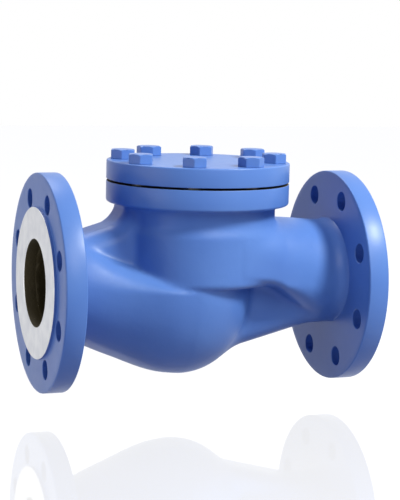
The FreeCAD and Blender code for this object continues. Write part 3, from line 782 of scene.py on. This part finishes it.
cell_mm = 2.1
net_length, net_half_width, net_low = bore_start + 4.0, 82.0, -94.0
bore_end, hidden_r = 3.0, 44.0
to_seat = np.array((seat_x, 0, 0))
cast_points, cast_quads = surface_net(casting, (-net_length, -net_half_width, net_low),
                                      (net_length, net_half_width, bonnet_top), cell_mm)
cast_points = pull_to_skin(casting, cast_points, 2, cell_mm / 2)
middles = cast_points[cast_quads].mean(axis=1)
outside_there, core_there = casting_parts(middles)
from_pipe_axis = np.hypot(middles[:, 1], middles[:, 2])
at_bore = (np.abs(middles[:, 0]) > bore_start - bore_end) & (from_pipe_axis < hidden_r)
wet = ((np.abs(core_there) < np.abs(outside_there)) | at_bore).astype(int)
cast_body = make_piece("cast_body", cast_points + to_seat, cast_quads, "casing",
                       [enamel_cast, oiled_bore_and_joint_shade], wet)
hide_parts("body")
print("largest distance of a point from the skin:", round(np.abs(casting(cast_points)).max(), 2))

# %% [markdown]
# The flanges, the bonnet ring and the cover are turned and drilled, so their edges are crisp.
# Each is a plate with a ring of holes. The plate is cut into one sector for each hole, and a
# sector is a grid: its columns run from the hole's edge out to the sector's border, and its
# rows are rings from the hole to the border. What lies inside and outside the drilled ring is
# a profile turned about the axis, with the same columns, so that everything welds together.

# %% Grids and turned profiles
def turn_profile(profile, angles):
    """Grid of a profile (r, h) carried round the axis: each point is (r cos a, r sin a, h)."""
    r, h = np.array(profile, float).T
    x, y = r[:, None] * np.cos(angles), r[:, None] * np.sin(angles)
    return np.stack((x, y, np.broadcast_to(h[:, None], x.shape)), axis=-1)


def grid_quads(rows, columns, start, closed):
    """Quads of a grid numbered row by row. The columns join up where it is closed."""
    i = np.arange(rows - 1)[:, None]
    j = np.arange(columns if closed else columns - 1)[None, :]
    k = (j + 1) % columns
    quad = np.stack(np.broadcast_arrays(i * columns + j, i * columns + k,
                                        (i + 1) * columns + k, (i + 1) * columns + j), axis=-1)
    return quad.reshape(-1, 4) + start


def join(grids):
    """Points and quads of several grids, (array, closed, flipped) each, welded."""
    points, quads, start = [], [], 0
    for grid, closed, flipped in grids:
        faces = grid_quads(grid.shape[0], grid.shape[1], start, closed)
        quads.append(faces[:, ::-1] if flipped else faces)
        points.append(grid.reshape(-1, 3))
        start += grid.shape[0] * grid.shape[1]
    return weld(np.concatenate(points), np.concatenate(quads))


def rounded_edge(corner, way_in, way_out, r, steps=4):
    """Points of a quarter arc that replaces a corner between two directions."""
    t = np.linspace(0, math.pi / 2, steps)[:, None]
    corner, way_in, way_out = (np.array(v, float) for v in (corner, way_in, way_out))
    centre = corner - r * way_in + r * way_out
    return centre + r * (np.sin(t) * way_in - np.cos(t) * way_out)


def turned(angle):
    """Matrix that turns rows of points about Z: (x cos - y sin, x sin + y cos, z)."""
    c, s = math.cos(angle), math.sin(angle)
    return np.array(((c, s, 0), (-s, c, 0), (0, 0, 1)))


out, up = np.array((1, 0)), np.array((0, 1))
print("an edge of 1 mm:", rounded_edge((10.0, 0.0), out, -up, 1.0, steps=3).round(2).tolist())

# %% [markdown]
# A drill goes through the plate after it is turned, so each hole is a plain cylinder whose two
# edges are broken by half a millimetre. A Boolean would cut it too, but would leave long thin
# faces that shade badly on a flat plate under a soft lamp. The sectors keep every face tidy.

# %% A drilled plate
def drilled_plate(low, high, inner, outer, circle_r, hole_r, count, inner_profile, outer_profile,
                  edge=0.5, arc_steps=16, side_steps=8, face_rings=4):
    """A plate about Z: drilled sectors at both heights, hole walls, and turned profiles.

    A border point b and the hole's middle c give the hole's edge point c + r (b - c) / |b - c|.
    The profiles run from the plate's high face to its low face.
    """
    beta = math.pi / count
    arc = np.linspace(-beta, beta, arc_steps + 1)
    side = np.linspace(outer, inner, side_steps + 1)
    border = np.concatenate((
        outer * np.stack((np.cos(arc), np.sin(arc)), axis=-1)[:-1],
        side[:-1, None] * np.array((math.cos(beta), math.sin(beta))),
        inner * np.stack((np.cos(-arc), np.sin(-arc)), axis=-1)[:-1],
        side[::-1][:-1, None] * np.array((math.cos(beta), -math.sin(beta))),
    ))
    middle = np.array((circle_r, 0.0))
    ray = border - middle
    ray = ray / np.linalg.norm(ray, axis=1, keepdims=True)
    mouth = middle + (hole_r + edge) * ray
    throat = middle + hole_r * ray
    shares = np.linspace(0, 1, face_rings)[:, None, None]
    face = mouth + (border - mouth) * shares

    def at(flat, height):
        """Flat points lifted to a height."""
        return np.concatenate((flat, np.full(flat.shape[:-1] + (1,), height)), axis=-1)

    grids = []
    for i in range(count):
        spin = turned((i + 0.5) * 2 * beta)
        wall_rows = [at(mouth, high), at(throat, high - edge),
                     at(throat, low + edge), at(mouth, low)]
        grids.append((at(face, high) @ spin, True, True))
        grids.append((at(face, low) @ spin, True, False))
        grids.append((np.stack(wall_rows) @ spin, True, False))
    around = (np.arange(count * arc_steps) / arc_steps) * 2 * beta
    grids.append((turn_profile(inner_profile, around), True, False))
    grids.append((turn_profile(outer_profile, around), True, True))
    return join(grids)


_, plate_quads = drilled_plate(low=0.0, high=10.0, inner=30.0, outer=60.0, circle_r=45.0,
                               hole_r=5.0, count=8, inner_profile=[(30.0, 10.0), (30.0, 0.0)],
                               outer_profile=[(60.0, 10.0), (60.0, 0.0)])
print("a plate of 10 mm with eight holes has", len(plate_quads), "faces")

# %% [markdown]
# A pipe flange has a raised face that seals, standing 3 mm proud, and eight bolt holes round
# it. Only the raised face is bare. Its own edge is hardly broken, while the rim's edges are
# rounder, as paint runs away from a sharp edge. The flange is drawn about the upright axis,
# where its profile is easy to think of, and then laid on the pipe axis, once to each side.

# %% Pipe flanges
flange_bolt_circle_r, flange_hole_r, flange_holes = 80.0, 9.0, 8
raised_r, raised_height = 69.0, 3.0
front, back = seat_x - raised_height, flange_back
rim_edge, face_edge, bore_edge, foot_slope, bare_lip = 1.2, 0.5, 1.6, 0.3, 1.0
turned_bore_r, face_rings_r = bore_r + 0.6, (64.0, 52.0, 44.0)
drilled_inner = raised_r + 2 * foot_slope
raised_profile = np.concatenate((
    [(drilled_inner, front)],
    [(raised_r + foot_slope, front + foot_slope)],
    rounded_edge((raised_r, seat_x), up, -out, face_edge),
    [(r, seat_x) for r in face_rings_r],
    rounded_edge((turned_bore_r, seat_x), -out, -up, bore_edge),
    [(turned_bore_r, bore_start), (hidden_r, bore_start), (hidden_r, back),
     (drilled_inner, back)],
))
rim_profile = np.concatenate((
    [(flange_r - rim_edge, front)],
    rounded_edge((flange_r, front), out, -up, rim_edge)[1:],
    rounded_edge((flange_r, back), -up, -out, rim_edge),
))


def along_x(points, side):
    """A plate drawn about Z laid on the pipe axis, its top facing out at side -1 or 1."""
    x, y, z = points.T
    return np.stack((side * z, y, -side * x), axis=-1)


def pipe_flange(name, side):
    """A flange whose faces are told apart by height and radius: face, bore, and the rest."""
    points, quads = drilled_plate(back, front, drilled_inner, flange_r - rim_edge,
                                  flange_bolt_circle_r, flange_hole_r, flange_holes,
                                  raised_profile, rim_profile)
    middle = points[quads].mean(axis=1)
    height, radius = middle[:, 2], np.hypot(middle[:, 0], middle[:, 1])
    bare = (height > front + foot_slope) & (radius < raised_r)
    wet_bore = (radius < bore_r + bare_lip) & (height < seat_x - bare_lip)
    kind = np.where(wet_bore, 2, np.where(bare, 1, 0))
    return make_piece(name, along_x(points, side) + to_seat, quads, "casing",
                      [enamel_turned, bare_face, oiled_bore_and_joint_shade], kind)


pipe_flange("inlet_flange", side=-1)
pipe_flange("outlet_flange", side=1)

# %% [markdown]
# The bonnet ring is the body's upper flange, with a tapped hole for each cover screw. It is
# part of the same casting, so its lower edge is rounder than an edge from the lathe. Its top
# is machined and stays bare, because the gasket lies there. It takes the dark oiled casting's
# colour, which is painted shade: it darkens the shaded gap between the two blue plates.

# %% Bonnet ring of the body
screw_circle_r, screw_count = 70.2, 8
tapped_r, joint_edge, cast_edge = 7.05, 0.5, 2.5
ring_inner, ring_outer, ring_low = 60.0, 81.0, bonnet_underside + 1
on_plane = 0.01
ring_bore = np.array((
    (ring_inner, bonnet_top), (neck_bore_r, bonnet_top), (neck_bore_r, ring_low),
    (ring_inner, ring_low),
))
ring_rim = np.concatenate((
    [(ring_outer, bonnet_top)],
    rounded_edge((bonnet_r, bonnet_top), out, -up, joint_edge),
    rounded_edge((bonnet_r, bonnet_underside), -up, -out, cast_edge, steps=5),
    [(ring_outer, ring_low)],
))
ring_points, ring_quads = drilled_plate(ring_low, bonnet_top, ring_inner, ring_outer,
                                        screw_circle_r, tapped_r, screw_count, ring_bore,
                                        ring_rim)
# The joint faces get the dark oiled colour as painted shade in the gap under the cover.
ring_joint_painted_shade = ring_points[ring_quads][..., 2].min(axis=1) > bonnet_top - on_plane
make_piece("bonnet_ring", ring_points + to_seat, ring_quads, "casing",
           [enamel_turned, oiled_bore_and_joint_shade], ring_joint_painted_shade)

# %% [markdown]
# The cover is a thick round plate with a spigot below that centres it and a boss that holds
# the guide bush. It was faced on a lathe and sprayed, so it is smoother than the casting, and
# the paint rounds its upper edge. Below, where it meets the gasket, it is bare, and like the
# ring it takes the dark oiled colour there as painted shade in the gap.

# %% Cover
spigot_r, boss_r, bush_seat_r, stem_room_r, screw_hole_r = 56.8, 18.0, 13.03, 12.03, 7.75
spigot_low, boss_low = cover_underside - 6.0, cover_low[2]
bush_top, bore_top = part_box("guide_bush")[1][2] / MM, cover_underside + 11.0
cover_outer, paint_edge, bevel = bonnet_r - 4.0, 1.4, 1.0
cover_middle = np.array((
    (ring_inner, cover_top), (40.0, cover_top), (20.0, cover_top), (0.0, cover_top),
    (0.0, bore_top), (stem_room_r, bore_top), (stem_room_r, bush_top), (bush_seat_r, bush_top),
    (bush_seat_r, boss_low), (boss_r - bevel, boss_low), (boss_r, boss_low + bevel),
    (boss_r, spigot_low), (spigot_r - bevel, spigot_low), (spigot_r, spigot_low + bevel),
    (spigot_r, cover_underside), (ring_inner, cover_underside),
))
cover_rim = np.concatenate((
    [(cover_outer, cover_top)],
    rounded_edge((bonnet_r, cover_top), out, -up, paint_edge, steps=5),
    rounded_edge((bonnet_r, cover_underside), -up, -out, joint_edge),
    [(cover_outer, cover_underside)],
))
cover_points, cover_quads = drilled_plate(cover_underside, cover_top, ring_inner, cover_outer,
                                          screw_circle_r, screw_hole_r, screw_count,
                                          cover_middle, cover_rim)
# The underside's joint face gets the dark oiled colour as painted shade in the gap.
cover_joint_painted_shade = cover_points[cover_quads][..., 2].max(axis=1) < cover_underside + on_plane
cover = make_piece("painted_cover", cover_points + to_seat, cover_quads, "casing",
                   [enamel_turned, oiled_bore_and_joint_shade], cover_joint_painted_shade)
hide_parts("cover")

# %% [markdown]
# Eight hexagon screws hold the cover. A hexagon's side at the angle a is (flats / 2) / cos(a),
# with a measured from the middle of a flat, and its corners are turned off by a shallow cone.
# So each column of the grid climbs the side to the cone, follows the cone in to a circle and
# ends in the middle. Each head stops at its own angle, as it does when it is tightened. The
# valve was sprayed after the screws were in, so only the heads are blue.

# %% Cover screws
across_flats, head_crown, corner_trim = 21.0, 1.4, 1.135
low_edge, side_edge, top_edge, edge_fall = 0.3, 0.35, 0.4, 0.05
head_turns_deg = (1, 54, 39, 30, 47, 1, 54, 38)
screw_r, screw_point = 7.0, 1.2


def hexagon_screw(foot, top, tip, columns=96):
    """Rows of (radius, height) over all angles a, from the tip up the shank to the top."""
    a = np.linspace(0, 2 * math.pi, columns + 1)[:-1]
    from_flat = a % (math.pi / 3) - math.pi / 6
    side = across_flats / 2 / np.cos(from_flat)
    side = np.minimum(side, across_flats / 2 * corner_trim)
    flat_r = across_flats / 2 - head_crown / 4
    cone_run = across_flats / math.sqrt(3) + 1 - flat_r
    cone_height = top - head_crown * (side - flat_r) / cone_run
    rows = [
        (0, tip), (screw_r - screw_point, tip), (screw_r, tip + screw_point), (screw_r, foot),
        (side - low_edge, foot), (side, foot + low_edge), (side, cone_height - side_edge),
        (side - top_edge, cone_height + edge_fall), (flat_r + low_edge, top - 2 * edge_fall),
        (flat_r - top_edge, top), (flat_r / 2, top), (0, top),
    ]
    return np.stack([np.stack(np.broadcast_arrays(r * np.cos(a), r * np.sin(a), h), axis=-1)
                     for r, h in rows])


grids = []
for i in range(screw_count):
    place = (i + 0.5) * 2 * math.pi / screw_count
    spin = turned(math.radians(head_turns_deg[i]) + place)
    centre = np.array((screw_circle_r * math.cos(place), screw_circle_r * math.sin(place), 0))
    head = hexagon_screw(cover_top, screw_high[2], screw_low[2])
    grids.append((head @ spin + centre, True, False))
screw_points, screw_quads = join(grids)
shank = screw_points[screw_quads][..., 2].max(axis=1) < cover_top + on_plane
screws = make_piece("painted_screws", screw_points + to_seat, screw_quads, "casing",
                    [enamel_screw, screw_steel], shank)
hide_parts("cover_screws")

# %% [markdown]
# The closing spring is round wire wound on a helix. The wire's ring of points is carried along
# the helix, and the last six tenths of a turn at each end lie flat, as a real spring's do.
# When the disc lifts, the real spring is pressed together towards its top end, so this piece
# is given a mesh of its own.

# %% Closing spring
spring_box = node_size("closing_spring")
wire_r, coil_r, turns, flat_turns = 1.25, 22.6, 6.0, 0.6
path_steps, wire_columns = 432, 12
spring_low, spring_high = spring_box[0][2] + wire_r, spring_box[1][2] - wire_r
t = np.linspace(0, 1, path_steps + 1)
angle = 2 * math.pi * turns * t
climbed = np.clip((turns * t - flat_turns) / (turns - 2 * flat_turns), 0.0, 1.0)
height = spring_low + (spring_high - spring_low) * climbed
path = np.stack((coil_r * np.cos(angle), coil_r * np.sin(angle), height), axis=-1)
outward = np.stack((np.cos(angle), np.sin(angle), 0 * angle), axis=-1)
around = np.linspace(0, 2 * math.pi, wire_columns + 1)[:-1]
tube = (path[:, None] + wire_r * (np.cos(around)[None, :, None] * outward[:, None]
                                  + np.sin(around)[None, :, None] * np.array((0, 0, 1))))
ends = [np.broadcast_to(path[0], tube[:1].shape), tube, np.broadcast_to(path[-1], tube[:1].shape)]
spring_points, spring_quads = join([(np.concatenate(ends), True, True)])
spring = make_piece("wound_spring", spring_points + to_seat, spring_quads, "casing",
                    [spring_wire])
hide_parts("closing_spring")
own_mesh(spring)

# %% [markdown]
# The pieces inside keep the working model's own meshes, whose shapes are right, and get their
# metals. The gasket is pressed graphite sheet, a dull grey-black with a fine grain, and the
# soft seat a moulded white sealing plastic, even and waxy.

# %% Inner pieces
soft_bump_depth_mm, soft_bump_share = 0.1, 0.2


def plain_stuff(name, light, dark, grain_mm, roughness):
    """A stuff without metal: two near colours and a low bump that share one noise."""
    material, tree, shader, place = new_material(name)
    grain = add(tree, "ShaderNodeTexNoise", Vector=place, Scale=per_metre(grain_mm), Detail=4.0)
    colour = add(tree, "ShaderNodeMix", {"data_type": "RGBA"}, _0=grain.outputs["Fac"],
                 _6=hex_colour(light), _7=hex_colour(dark))
    bump = add(tree, "ShaderNodeBump", Strength=soft_bump_share, Height=grain.outputs["Fac"],
               Distance=soft_bump_depth_mm * MM)
    tree.links.new(colour.outputs[2], shader.inputs["Base Color"])
    tree.links.new(bump.outputs["Normal"], shader.inputs["Normal"])
    shader.inputs["Roughness"].default_value = roughness
    return material


graphite = plain_stuff("graphite_sheet", "1C1C1E", "2B2B2D", grain_mm=1.5, roughness=0.6)
seal_plastic = plain_stuff("white_sealing_plastic", "EDEDEA", "E0E0DB", grain_mm=6.0,
                           roughness=0.42)
inner_finish = {
    "seat_ring": stainless, "disc": stainless, "guide_stem": stainless, "clamp_plate": stainless,
    "clamp_nut": stainless, "split_pin": stainless, "spring_washer": stainless,
    "guide_bush": bronze, "cover_gasket": graphite, "soft_seat_ring": seal_plastic,
}
for node, material in inner_finish.items():
    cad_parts[node].data.materials[0] = material
print("inner pieces finished:", len(inner_finish))

# %% [markdown]
# The valve hovers just above the glossy floor of a white studio, as its mirror image in the
# photo tells. The floor is white where it is seen, in a mirror image too, and darker where it
# only lights the valve, so that the underside keeps its shade. The Light Path node tells the
# two kinds of ray apart. A plain diffuse part takes the valve's shadow, an emission lifts it
# to white, and a weak, slightly blurred mirror gives the image below.

# %% Floor
floor_drop_mm, floor_gloss, floor_blur, floor_glow = 20.8, 0.28, 0.03, 0.97
floor_seen, floor_unseen = "6D6D6D", "737B98"
half_floor_m = 4.0


def seen_as_background(tree):
    """1 for rays that show the background: from the camera, a reflection or through glass."""
    kind = add(tree, "ShaderNodeLightPath")
    seen = add(tree, "ShaderNodeMath", {"operation": "MAXIMUM"},
               _0=kind.outputs["Is Camera Ray"], _1=kind.outputs["Is Transmission Ray"])
    seen = add(tree, "ShaderNodeMath", {"operation": "MAXIMUM"},
               _0=seen.outputs["Value"], _1=kind.outputs["Is Glossy Ray"])
    return seen.outputs["Value"]


def floor_material():
    """(diffuse + glow seen) (1 - gloss seen) + mirror gloss seen, with seen 1 or 0."""
    material = bpy.data.materials.new("white_studio_floor")
    material.use_nodes = True
    tree = material.node_tree
    tree.nodes.clear()
    seen = seen_as_background(tree)
    tint = add(tree, "ShaderNodeMix", {"data_type": "RGBA"}, _0=seen,
               _6=hex_colour(floor_unseen), _7=hex_colour(floor_seen))
    lit = add(tree, "ShaderNodeBsdfDiffuse")
    tree.links.new(tint.outputs[2], lit.inputs["Color"])
    glow = add(tree, "ShaderNodeEmission", Color=(1, 1, 1, 1))
    share = add(tree, "ShaderNodeMath", {"operation": "MULTIPLY"}, _0=seen, _1=floor_glow)
    tree.links.new(share.outputs["Value"], glow.inputs["Strength"])
    both = add(tree, "ShaderNodeAddShader", _0=lit.outputs["BSDF"], _1=glow.outputs["Emission"])
    mirror = add(tree, "ShaderNodeBsdfGlossy", Color=(1, 1, 1, 1), Roughness=floor_blur)
    gloss = add(tree, "ShaderNodeMath", {"operation": "MULTIPLY"}, _0=seen, _1=floor_gloss)
    mixed = add(tree, "ShaderNodeMixShader", _0=gloss.outputs["Value"], _1=both.outputs["Shader"],
                _2=mirror.outputs["BSDF"])
    output = add(tree, "ShaderNodeOutputMaterial")
    tree.links.new(mixed.outputs["Shader"], output.inputs["Surface"])
    return material


floor_z = valve_underside - floor_drop_mm
floor_mesh = bpy.data.meshes.new("studio_floor")
corners = half_floor_m * np.array(((-1, -1), (1, -1), (1, 1), (-1, 1)))
floor_mesh.from_pydata([(x, y, floor_z * MM) for x, y in corners], [], [(0, 1, 2, 3)])
floor_mesh.materials.append(floor_material())
floor = bpy.data.objects.new("studio_floor", floor_mesh)
bpy.context.scene.collection.objects.link(floor)
print("floor at z", floor_z, "mm")

# %% [markdown]
# A soft lamp at the upper right gives the shading. Its light and the front lamp's are a touch
# warm, as the photo's are. The front lamp is tall and weak, so it draws long highlights on the
# tube and the rims instead of round spots. Two more fill the back and the inlet side, which
# the first two leave dark. Places are in metres, and every lamp looks at the valve.

# %% Lamps
def soft_lamp(name, place, target, size, watts, colour):
    """An oval area lamp of a width and a height in metres, aimed at a point."""
    data = bpy.data.lights.new(name, "AREA")
    data.shape, data.energy, data.color = "ELLIPSE", watts, colour
    data.size, data.size_y = size
    lamp = bpy.data.objects.new(name, data)
    bpy.context.scene.collection.objects.link(lamp)
    aim(lamp, place, target)


seat_middle, inlet_middle = (seat_x * MM, 0.0, 0.0), (0.0, 0.0, 0.0)
warm, neutral = (1.0, 1.0, 0.92), (1.0, 1.0, 1.0)
soft_lamp("key_lamp", (0.87, -0.80, 1.06), seat_middle, (0.35, 0.35), 27.5, warm)
soft_lamp("front_lamp", (0.32, -1.25, 0.80), seat_middle, (0.25, 0.80), 6.5, warm)
soft_lamp("back_lamp", (0.0, 0.80, 1.30), seat_middle, (0.8, 0.8), 8.0, neutral)
soft_lamp("side_lamp", (-0.8, -0.22, 0.02), inlet_middle, (0.8, 0.8), 3.4, neutral)
print("lamps:", [lamp.name for lamp in bpy.data.lights])

# %% [markdown]
# The surround does for the space what the floor does below: white where it is seen, and a dim
# blue-grey where it only lights the valve. That blue-grey is what the shaded sides take on.

# %% Surround
surround_unseen = "46537C"
world = bpy.data.worlds.new("studio")
bpy.context.scene.world = world
world.use_nodes = True
sky = world.node_tree
sky.nodes.clear()
shade = add(sky, "ShaderNodeMix", {"data_type": "RGBA"}, _0=seen_as_background(sky),
            _6=hex_colour(surround_unseen), _7=(1, 1, 1, 1))
surround = add(sky, "ShaderNodeBackground", Strength=1.0)
sky.links.new(shade.outputs[2], surround.inputs["Color"])
world_out = add(sky, "ShaderNodeOutputWorld")
sky.links.new(surround.outputs["Background"], world_out.inputs["Surface"])
bpy.context.scene.view_settings.view_transform = "Standard"
print("view:", bpy.context.scene.view_settings.view_transform)
